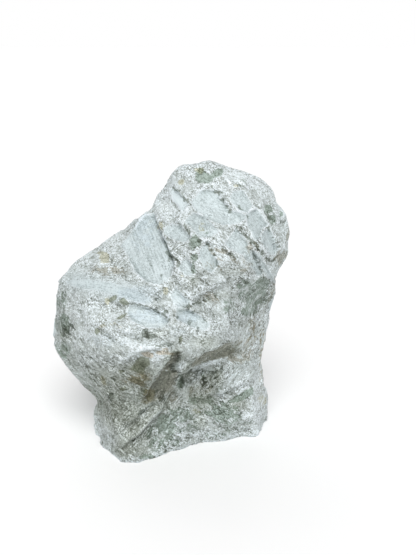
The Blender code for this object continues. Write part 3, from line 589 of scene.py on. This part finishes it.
def fineSkin(node):
    # the CAD solid's skin as an even mesh of small faces, with its facets' hard edges rubbed down
    work = bmesh.new()
    work.from_mesh(node.data)
    bmesh.ops.remove_doubles(work, verts=work.verts, dist=stone["weld"] * mm)
    piece = placed("soapstone", meshed("soapstone", work))
    remesh = piece.modifiers.new("skin", "REMESH")
    remesh.mode = "VOXEL"
    remesh.voxel_size = stone["voxel"] * mm
    rub = piece.modifiers.new("rub", "SMOOTH")
    rub.factor, rub.iterations = stone["rounding"]
    graph = bpy.context.evaluated_depsgraph_get()
    piece.data = bpy.data.meshes.new_from_object(piece.evaluated_get(graph))
    piece.modifiers.clear()
    return piece


def rowsOf(holders, name, wide, kind=np.float32):
    # one property of every point or edge, a row for each
    flat = np.empty(len(holders) * wide, kind)
    holders.foreach_get(name, flat)
    return flat.reshape(-1, wide)


def unit(arrow):
    return arrow / np.linalg.norm(arrow)


def fade(distance, wide):
    # 1 at a mark's middle, a third at its half width
    return np.exp(-((distance / wide) ** 2))


def ramp(values):
    return np.clip(values, 0, 1)


def clouds(places, kind):
    # soft noise at each place
    return np.array([noise.fractal(place, *stone["noises"][kind]) for place in places])


class Carving:
    # the fine skin's points, in mm, and the strokes that work on them
    def __init__(self, piece):
        self.mesh = piece.data
        self.points = rowsOf(self.mesh.vertices, "co", 3).astype(float) / mm
        self.total = len(self.points)
        self.moved = np.array(drawing["moved"], float)
        self.ends = rowsOf(self.mesh.edges, "vertices", 2, np.int32)
        self.count = np.bincount(self.ends.ravel(), minlength=self.total)
        self.measure()
        faces = [tuple(p.vertices) for p in self.mesh.polygons]
        self.tree = BVHTree.FromPolygons([Vector(p) for p in self.points], faces)
        self.way = np.zeros((self.total, 3))        # mm along and across the band or facet that it is on
        self.number = 0                             # of those so far: no two have the same scratches
        self.cut = np.full(self.total, outside)     # mm inside a facet's outline
        # from 0 to 1: how scratched, how bare of crust, how torn, and how far the grain lies the second way
        self.brushed, self.bare, self.wall, self.turn = np.zeros((4, self.total))

    def measure(self):
        self.mesh.vertices.foreach_set("co", (self.points * mm).astype(np.float32).ravel())
        self.mesh.update()
        self.normals = rowsOf(self.mesh.vertex_normals, "vector", 3).astype(float)

    def lift(self, height):
        self.points += self.normals * height[:, None]

    def views(self):
        # each side in turn, looked at from its own eye, with its marks
        for side, marks in sides.items():
            self.look(side)
            yield side, marks

    def look(self, side):
        # every point as it shows from one side's eye, and how fully it faces that eye
        self.eye = np.array(drawing["eyes"][side], float) + self.moved
        self.depth = 1 if side in ("front", "back") else 0
        ray = self.points - self.eye
        reach = (self.moved[self.depth] - self.eye[self.depth]) / ray[:, self.depth]
        self.flat = (self.eye + ray * reach[:, None] - self.moved)[:, [1 - self.depth, 2]]
        ray /= np.linalg.norm(ray, axis=1)[:, None]
        self.seen = ramp(-np.sum(ray * self.normals, axis=1) / drawing["full"])

    def averaged(self, values, times):
        # each point's value mixed half and half with its neighbours'
        for _ in range(times):
            around = np.zeros_like(values)
            np.add.at(around, self.ends[:, 0], values[self.ends[:, 1]])
            np.add.at(around, self.ends[:, 1], values[self.ends[:, 0]])
            values = 0.5 * values + 0.5 * (around.T / self.count).T
        return values

    def under(self, spot):
        # the surface point that shows at this spot
        target = self.moved.copy()
        target[1 - self.depth] += spot[0]
        target[2] += spot[1]
        found = self.tree.ray_cast(Vector(self.eye), Vector(target - self.eye))
        return np.array(found[0] or self.tree.find_nearest(Vector(target))[0])

    def beside(self, line):
        # distance from a drawn line, which side of it, and 1 along it, fading at either end
        best = np.full(self.total, np.inf)
        side = np.zeros(self.total)
        run = np.zeros(self.total)
        start = 0
        for p, q in zip(line, line[1:]):
            p, step = np.array(p, float), np.array(q, float) - np.array(p, float)
            length = np.linalg.norm(step)
            t = ramp((self.flat - p) @ step / length**2)
            gap = self.flat - p - t[:, None] * step
            distance = np.linalg.norm(gap, axis=1)
            closer = distance < best
            best = np.where(closer, distance, best)
            side = np.where(closer, gap[:, 0] * step[1] - gap[:, 1] * step[0], side)
            run = np.where(closer, start + t * length, run)
            start += length
        ends = ramp(np.minimum(run, start - run) / (stone["ends"] * start))
        return best, side > 0, ends

    def within(self, ring):
        # distance inside a drawn outline, less than 0 outside it
        best, _, _ = self.beside(ring + ring[:1])
        inside = np.zeros(self.total, bool)
        x, z = self.flat.T
        for (ax, az), (bx, bz) in zip(ring, ring[1:] + ring[:1]):
            if az != bz:
                inside ^= ((az > z) != (bz > z)) & (x < ax + (z - az) * (bx - ax) / (bz - az))
        return np.where(self.seen > 0, np.where(inside, best, -best), outside)

    def spot(self, across, up, wide, high):
        # 1 at a spot's middle, fading to a third at its half width
        gap = ((self.flat[:, 0] - across) / wide) ** 2 + ((self.flat[:, 1] - up) / high) ** 2
        return np.exp(-gap) * self.seen

    def covered(self, cover, spots):
        for *place, amount in spots:
            cover = np.maximum(cover, amount * ramp(stone["patchEdge"] * self.spot(*place)))
        return cover

    def calmed(self, ground, spots):
        for *place, amount in spots:
            ground = np.minimum(ground, 1 - amount * self.spot(*place))
        return ground

    def along(self, lie):
        # the points squeezed along the grain, so that what is drawn there comes out long
        turn = Euler([math.radians(angle) for angle in lie]).to_matrix()
        return (self.points @ np.array(turn).T) * (stone["long"], 1, 1)

    def chips(self, size, height, seed, amount):
        rises = [self.broken(self.along(lie) / size, seed) for lie in stone["lie"]]
        self.liftBothWays(rises, height, amount)

    def waves(self, size, height, seed, amount):
        shift = Vector((seed, 0, 0))
        places = [[Vector(p) + shift for p in self.along(lie) / size] for lie in stone["lie"]]
        self.liftBothWays([clouds(lying, "waves") for lying in places], height, amount)

    def liftBothWays(self, rises, height, amount):
        # one shape where the grain lies the first way, the other where it lies the second way
        self.lift(height * (rises[0] + (rises[1] - rises[0]) * self.turn) * amount)

    def broken(self, places, seed):
        # small faces that each lean their own way
        fast, far = stone["bent"]
        tilt, stand = stone["lean"]
        rise = np.empty(len(places))
        for i, point in enumerate(places):
            spot = Vector(point) + Vector((seed, 0, 0))
            bend = fast * spot
            for axis in range(3):
                bend[2] += 31.7     # any step that gives each axis its own noise
                spot[axis] += far * noise.noise(bend)
            _, centres = noise.voronoi(spot)
            own = centres[0] * 97.0     # any scale that sets each face's centre in a cell of its own
            lean = noise.cell_vector(own) - Vector((0.5, 0.5, 0.5))
            rise[i] = tilt * lean.dot(spot - centres[0]) + stand * lean.x
        return rise

    def streaks(self):
        # height of the scratches, worked out only where there are some
        long, apart, high = stone["streaks"]
        rise = [noise.noise(Vector((u / long, v / apart, w / apart / 2))) if amount > 0.02 else 0
                for (u, v, w), amount in zip(self.way, self.brushed)]
        return high * self.brushed * np.array(rise)

    def lump(self, across, up, wide, height):
        reach = np.sum((self.points - self.under((across, up))) ** 2, axis=1) / wide**2
        self.lift(height * np.exp(-reach))

    def ledge(self, line, height, reach):
        distance, right, ends = self.beside(line)
        drop = height * ends * fade(distance, reach) * ramp(distance / stone["edge"])
        self.lift(-self.averaged(drop * (right - 0.5) * self.seen, 2))

    def claim(self, where, *place):
        self.way = np.where(where[:, None], np.stack(place, axis=1), self.way)
        self.number += 1

    def stroke(self, start, end, wide, strength, bareness):
        # a long scratched band
        a, b = self.under(start), self.under(end)
        along = unit(b - a)
        distance, _, ends = self.beside([start, end])
        amount = strength * fade(distance, wide) * self.seen * ramp(ends + 0.3)
        across = unit(np.cross(along, np.mean(self.normals[amount > 0.5 * strength], axis=0)))
        offset = self.points - a
        out = offset @ np.cross(along, across) + stone["slices"][0] * (self.number + 1)
        self.claim(amount > self.brushed, offset @ along, offset @ across, out)
        self.brushed = np.abs(self.brushed - amount)    # little is left where two bands meet
        self.bare = np.maximum(self.bare, bareness * amount)

    def facet(self, ring, sink, scratched):
        # flattens what lies inside an outline, deepest along its first edge, and scratches it that way
        depthIn = self.within(ring)
        core = depthIn > 0
        far, deep = stone["facetReach"]
        a, b = self.under(ring[0]), self.under(ring[1])
        along = unit(b - a)
        middle = np.mean(self.points[core], axis=0)
        near = core & (np.linalg.norm(self.points - middle, axis=1) < far)
        middle = np.mean(self.points[near], axis=0)
        out = np.linalg.svd(self.points[near] - middle, full_matrices=False)[2][2]
        out *= np.sign(out @ np.mean(self.normals[near], axis=0))
        side = np.cross(out, along)
        side *= np.sign((a - middle) @ side)
        offset = self.points - middle
        u, v, h = offset @ along, offset @ side, offset @ out
        if sink is not None:
            atMiddle, more = stone["sunk"]
            plane = -sink * (atMiddle + more * v / np.max(np.abs(v[near])))
            amount = ramp(depthIn / stone["edge"]) * (np.abs(h) < deep)
            self.points += out * (amount * (plane - h))[:, None]
        self.cut = np.maximum(self.cut, depthIn)
        self.claim(core, u, v, np.full(self.total, stone["slices"][1] * (self.number + 1)))
        self.brushed = np.where(core, scratched * ramp(depthIn / stone["margin"] - 0.3), self.brushed)

    def tornWall(self, line, wide, strength, torn):
        distance, _, ends = self.beside(line)
        painted, sunk, fading = stone["wallReach"]
        cover = ramp(0.55 + (painted * wide * torn - distance) / fading)
        self.wall = np.maximum(self.wall, strength * cover * self.seen)
        shape = ramp(1.2 - distance / (sunk * wide)) * self.seen * torn
        self.lift(-(stone["wall"] * strength * shape * ramp(ends + 0.4)))

    def keep(self, name, values, kind="FLOAT"):
        layer = self.mesh.attributes.new(name, kind, "POINT")
        layer.data.foreach_set("value" if kind == "FLOAT" else "vector", values.astype(np.float32).ravel())


def layLedges(work):
    for _, marks in work.views():
        for ledge in marks.get("ledges", []):
            work.ledge(*ledge)
        work.measure()
        for lump in marks.get("lumps", []):
            work.lump(*lump)
        work.measure()


def cutFacets(work):
    for _, marks in work.views():
        for stroke in marks["strokes"].values():
            work.stroke(*stroke)
    raised = work.streaks()
    scratched, otherwise = stone["scratched"], stone["otherwise"]
    for side, marks in work.views():
        for name, (ring, sink) in marks["facets"].items():
            work.facet(ring, sink, scratched.get(name, otherwise[side]))
    work.measure()
    beyond = ramp(-work.cut / stone["margin"])
    rise = raised * beyond + stone["onFacet"] * work.streaks() * (work.cut > 0)
    work.lift(work.averaged(rise, 1))
    work.measure()


def tearWalls(work):
    size, middle, swing = stone["torn"]
    torn = middle + swing * np.array([noise.noise(Vector(p) / size) for p in work.points])
    for _, marks in work.views():
        for line, wide, strength in marks["walls"]:
            work.tornWall(line, wide, strength, torn)
        work.measure()


def breakGround(work):
    # returns how rough the ground is at each point
    size, middle, swing, least = stone["crust"]
    crust = middle + swing * clouds((Vector(p) / size for p in work.points), "crust")
    crust = np.clip(np.minimum(crust, 1.1 - work.brushed), least, 1)    # less crust where scratched
    for _, marks in work.views():
        work.turn = work.covered(work.turn, marks["turned"])
        crust = work.calmed(crust, marks.get("smooth", []))
    smooth, crusted, less = stone["broken"]
    amount = (1 - less * ramp(work.cut / stone["margin"] + 0.5)) * (smooth + crusted * crust)
    for chip in stone["chips"]:
        work.chips(*chip, amount)
    for wave in stone["waves"]:
        work.waves(*wave, amount)
    reach, level = stone["foot"]
    work.points[:, 2] = np.where(work.points[:, 2] < reach, level, work.points[:, 2])
    work.measure()
    return crust


def paintMarks(work, crust):
    # everything that the material reads at each point
    settled = work.averaged(work.points, stone["settled"])
    hollow = np.sum((settled - work.points) * work.normals, axis=1)
    size, amount, calmer = stone["drift"]
    work.look("front")
    hidden = 1 - ramp(2 * work.seen)
    # the painted shade starts from a slow random change of tone on the sides away from the front
    shade = hidden * amount * clouds((Vector(p) / size for p in work.points), "drift")
    crust = crust * (1 - calmer * hidden)
    covers = {name: np.zeros(work.total) for name in ["pale"] + list(tints)}
    # the torn walls' dark cover, partly their own darker stone and partly painted shadow
    covers["wall"] = work.wall
    for _, marks in work.views():
        crust = work.calmed(crust, marks["calm"])
        # painted shade and painted light from each side's soft spots, with some of the stone's own tone
        for *place, amount in marks["paintedShadeAndTone"]:
            shade += amount * work.spot(*place)
        # painted shade and painted light along lines
        for line, wide, amount in marks.get("shadeLines", []):
            shade += amount * fade(work.beside(line)[0], wide) * work.seen
        for name, spots in marks["patches"].items():
            covers[name] = work.covered(covers[name], spots)
        for name, rings in marks.get("panes", {}).items():
            for ring in rings:
                covers[name] = np.maximum(covers[name], ramp(0.5 + work.within(ring) / stone["paneEdge"]))
    work.keep("hollow", hollow)
    work.keep("cut", ramp(0.5 + work.cut / stone["cutReach"]))
    work.keep("way", work.way * mm, "FLOAT_VECTOR")
    work.keep("brushed", work.averaged(work.brushed, 1))
    work.keep("bare", work.bare)
    work.keep("crust", crust)
    work.keep("shade", shade)
    work.keep("turned", work.turn)
    for name, cover in covers.items():
        work.keep(name, cover)


def carve(piece):
    work = Carving(piece)
    layLedges(work)
    cutFacets(work)
    tearWalls(work)
    print("facets and walls cut")
    crust = breakGround(work)
    print("broken faces cut")
    paintMarks(work, crust)
    for face in piece.data.polygons:
        face.use_smooth = True


finish = {
    "shadow": tone(97, 103, 94),
    "body": tone(165, 172, 168),
    "light": tone(201, 210, 211),
    "crumb": tone(234, 242, 246),
    "cutDim": tone(145, 158, 160),
    "cutLight": tone(206, 218, 220),
    "low": (0.985, 0.985, 0.92, 1),     # tint of the shaded ground
    "ground": (0.54, 0.03),             # how light the ground is before its fine grain, and added after it
    "fine": (0.7, 0.4, 0.45),           # fine grain: on smooth ground, how much more on crust, less on cuts
    "cut": (0.75, 0.75),                # how much smoother a facet is, how much fresh colour it takes
    "shading": 0.5,                     # how much shade darkens the colour itself
    "roughness": 0.62,
    "mirror": 0.35,
    "bump": (0.9, 1.4),                 # strength, and mm high
}

# How fine each part of the grain is, in cells to the metre, or in waves with layers, roughness and warp.
grains = {
    "clumps": 260, "shards": 560, "pits": 640, "grit": 1500,
    "haze": (420, 3, 0.65, 0.3), "specks": (1300, 2, 0.7), "wide": (38, 3), "lively": (90, 2),
    "turned": (120, 3), "streaks": (1, 3, 0.6),
    "brushing": (70, 1100, 800),    # how fine the streaks are along, across and into the stone
    "sway": (260, 0.0035),          # how fine the swaying of it all is, and how far it goes, in m
}

# How much each part lightens or darkens the ground, and how high it stands.
weights = {
    "clumps": 0.1, "shards": 0.26, "haze": 0.2, "specks": 1.55, "grit": 0.6, "pits": 0.36, "nicks": 0.42,
    "crust": 0.08, "wide": 0.16, "hollow": 0.18, "pale": 0.1, "streaks": 0.65, "rim": 0.18, "shade": 0.5,
}
heights = {
    "clumps": 0.3, "shards": 0.25, "haze": 0.45, "grit": 0.2, "pits": 0.4, "streaks": 0.4, "specks": 0.26,
}

# How far the grain's parts move a mark's edge, and how much of that each mark takes.
frays = {
    "clumps": 0.22, "shards": 0.2, "grit": 0.12, "haze": 0.3,
    "turned": 1.2, "cut": 1.1, "pits": 0.5, "nicks": 0.8, "pale": 2.6, "rim": 0.6,
}

# The levels where each colour or mark begins and is full; for "lively" also how strong it is at each.
steps = {
    "body": (0.10, 0.46), "light": (0.40, 0.60), "crumb": (0.57, 0.76), "fresh": (0.24, 0.68),
    "low": (-0.06, -0.34), "turned": (0.45, 0.55), "cut": (0.44, 0.60), "pits": (0.84, 0.92),
    "nicks": (0.78, 0.96), "lively": (0.38, 0.62, 0.6, 1.35), "pale": (0.4, 0.7), "tint": (0.42, 0.66),
    "near": (0.04, 0.2), "rimOutside": (0.34, 0.46), "rimInside": (0.58, 0.48),
}

# What each kind of patch does to the ground under it: tint, strength, how ragged its edge is.
tints = {
    # the warm tint is a brown stain and also painted shade, in the valley and under the belly
    "warmStainAndShade": ((0.68, 0.63, 0.55, 1), 0.9, 3.0),
    "cool": ((0.95, 0.97, 1.00, 1), 0.9, 3.0),
    "green": ((0.50, 0.56, 0.49, 1), 0.95, 2.0),
    "olive": ((0.46, 0.47, 0.36, 1), 0.9, 1.1),
    "ochre": ((0.84, 0.77, 0.58, 1), 0.8, 2.4),
    "peach": ((0.88, 0.76, 0.63, 1), 0.9, 1.1),
    "dark": ((0.40, 0.42, 0.38, 1), 0.9, 2.4),
    # the walls' tint is partly their own darker stone and partly painted shadow
    "wall": ((0.48, 0.50, 0.45, 1), 0.95, 2.2),
}


def soapstone():
    paint = Paint("soapstone")
    base, added = finish["ground"]
    plain, moreOnCrust, lessOnCut = finish["fine"]
    smoother, fresher = finish["cut"]

    def swing(name, value, amounts=weights):
        # a part of the grain as a rise or a fall
        return (value - 0.5) * amounts[name]

    def step(name, value):
        return paint.step(value, *steps[name])

    place = paint.node("ShaderNodeTexCoord", output="Object")
    sway = swing("turned", paint.grain(place, *grains["turned"]), frays)
    mixed = step("turned", paint.attribute("turned") + sway)
    first, second = (paint.grained(place, lie) for lie in stone["lie"])
    clumps, shards, pits, haze, specks = (a + (b - a) * mixed for a, b in zip(first, second))
    grit = paint.cells(place, grains["grit"])
    wide = paint.grain(place, *grains["wide"])
    ragged = swing("clumps", clumps, frays) + swing("shards", shards, frays)
    ragged = ragged + swing("grit", grit, frays) + swing("haze", haze, frays)
    cut = step("cut", paint.attribute("cut") + ragged * frays["cut"])
    crust = paint.attribute("crust")
    rough = (1 - cut * smoother) * crust

    streaks = paint.grain(paint.stretch(paint.vector("way"), grains["brushing"]), *grains["streaks"])
    brushed = paint.attribute("brushed")

    # how light the ground is, from its grain, its pits and nicks, the marks laid on it, the painted shade,
    # and the painted highlight along facet rims
    detail = swing("clumps", clumps) + swing("shards", shards) + swing("haze", haze)
    pits = step("pits", pits + swing("pits", haze, frays)) * rough
    level = base + detail * rough - pits * weights["pits"] - crust * weights["crust"]
    lively = step("lively", paint.grain(place, *grains["lively"]))
    nicks = step("nicks", grit + swing("nicks", haze, frays))
    fine = (swing("specks", specks) + swing("grit", grit)) * lively
    fine = fine * (plain + crust * moreOnCrust) - nicks * weights["nicks"]
    level = level + fine * (1 - cut * lessOnCut) + added
    pale = paint.attribute("pale")
    pale = step("pale", pale + ragged * frays["pale"]) * step("near", pale)
    hollow = paint.attribute("hollow")
    level = level + swing("wide", wide) - hollow * weights["hollow"] + pale * weights["pale"]
    # a painted highlight along each facet's edge, where it meets the ground round it
    rim = paint.attribute("cut") + ragged * frays["rim"]
    rim = step("rimOutside", rim) * step("rimInside", rim)
    shade = paint.attribute("shade")
    level = level + (streaks - 0.5) * brushed * weights["streaks"]
    level = level + rim * weights["rim"] + shade * weights["shade"]

    # the colours that the level runs through, on the crust and on fresh cuts
    colour = finish["shadow"]
    for name in ("body", "light", "crumb"):
        colour = paint.blend(step(name, level), colour, finish[name])
    fresh = paint.blend(step("fresh", level), finish["cutDim"], finish["cutLight"])
    colour = paint.blend(cut * fresher, colour, fresh)
    colour = paint.blend(paint.attribute("bare"), colour, fresh)
    # painted shade darkens the colour itself, and where it is deep gives it a yellower tint
    scaled = {0: colour, "Scale": 1 + shade * finish["shading"]}
    colour = paint.node("ShaderNodeVectorMath", {"operation": "SCALE"}, scaled)
    colour = paint.blend(step("low", shade), colour, finish["low"], "MULTIPLY")

    for name, (tint, strength, raggedness) in tints.items():
        here = paint.attribute(name)
        share = step("tint", here - ragged * raggedness) * step("near", here)
        colour = paint.blend(share * strength, colour, tint, "MULTIPLY")

    ground = clumps * heights["clumps"] + shards * heights["shards"] + haze * heights["haze"]
    height = (ground + grit * heights["grit"]) * rough - pits * heights["pits"]
    height = height + streaks * heights["streaks"] * brushed + specks * heights["specks"]
    strength, high = finish["bump"]
    bump = {"Strength": strength, "Distance": high * mm, "Height": height}
    paint.coat({
        "Base Color": colour, "Roughness": finish["roughness"], "Specular IOR Level": finish["mirror"],
        "Normal": paint.node("ShaderNodeBump", None, bump),
    })
    return paint.material


room = {
    "floor": tone(249, 249, 249),
    "floorSize": 12,            # m from its middle to its edge
    "floorRoughness": 0.9,
    "sky": 0.40,                # light from all round
    "backdrop": 1.0,            # how bright the sky looks
    "suns": [((0.04, -0.75, 1.0), 2.4, 40), ((-0.3, 0.9, 0.7), 0.5, 60)],   # from, strength, degrees across
}


def makeFloor():
    work = bmesh.new()
    bmesh.ops.create_grid(work, x_segments=1, y_segments=1, size=room["floorSize"])
    floor = placed("floor", meshed("floor", work))
    paint = Paint("paper")
    paint.coat({"Base Color": room["floor"], "Roughness": room["floorRoughness"]})
    floor.data.materials.append(paint.material)


def makeLights():
    world = bpy.data.worlds.new("studio")
    world.use_nodes = True
    nodes = world.node_tree.nodes
    seen = nodes.new("ShaderNodeLightPath")
    level = nodes.new("ShaderNodeMapRange")
    level.inputs["To Min"].default_value = room["sky"]
    level.inputs["To Max"].default_value = room["backdrop"]
    nodes["Background"].inputs["Color"].default_value = (1, 1, 1, 1)
    world.node_tree.links.new(seen.outputs["Is Camera Ray"], level.inputs["Value"])
    world.node_tree.links.new(level.outputs[0], nodes["Background"].inputs["Strength"])
    bpy.context.scene.world = world
    for spot, strength, across in room["suns"]:
        lamp = bpy.data.lights.new("sun", "SUN")
        lamp.energy = strength
        lamp.angle = math.radians(across)
        placed("sun", lamp).rotation_euler = (-Vector(spot)).to_track_quat("-Z", "Y").to_euler()


def makeCamera():
    camera = bpy.data.cameras.new("camera")
    camera.lens = drawing["lens"]
    holder = placed("camera", camera)
    holder.location = (Vector(drawing["eyes"]["front"]) + Vector(drawing["moved"])) * mm
    holder.rotation_euler = (math.radians(drawing["tilt"]), 0, 0)
    bpy.context.scene.camera = holder
    bpy.context.scene.view_settings.view_transform = "Standard"


makeCamera()
makeLights()
makeFloor()
print("room ready")

piece = fineSkin(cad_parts["soapstone_block"])
print("fine skin:", len(piece.data.polygons), "faces")
carve(piece)
piece.data.materials.append(soapstone())
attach(piece, "root")
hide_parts("soapstone_block")
print("stone finished")
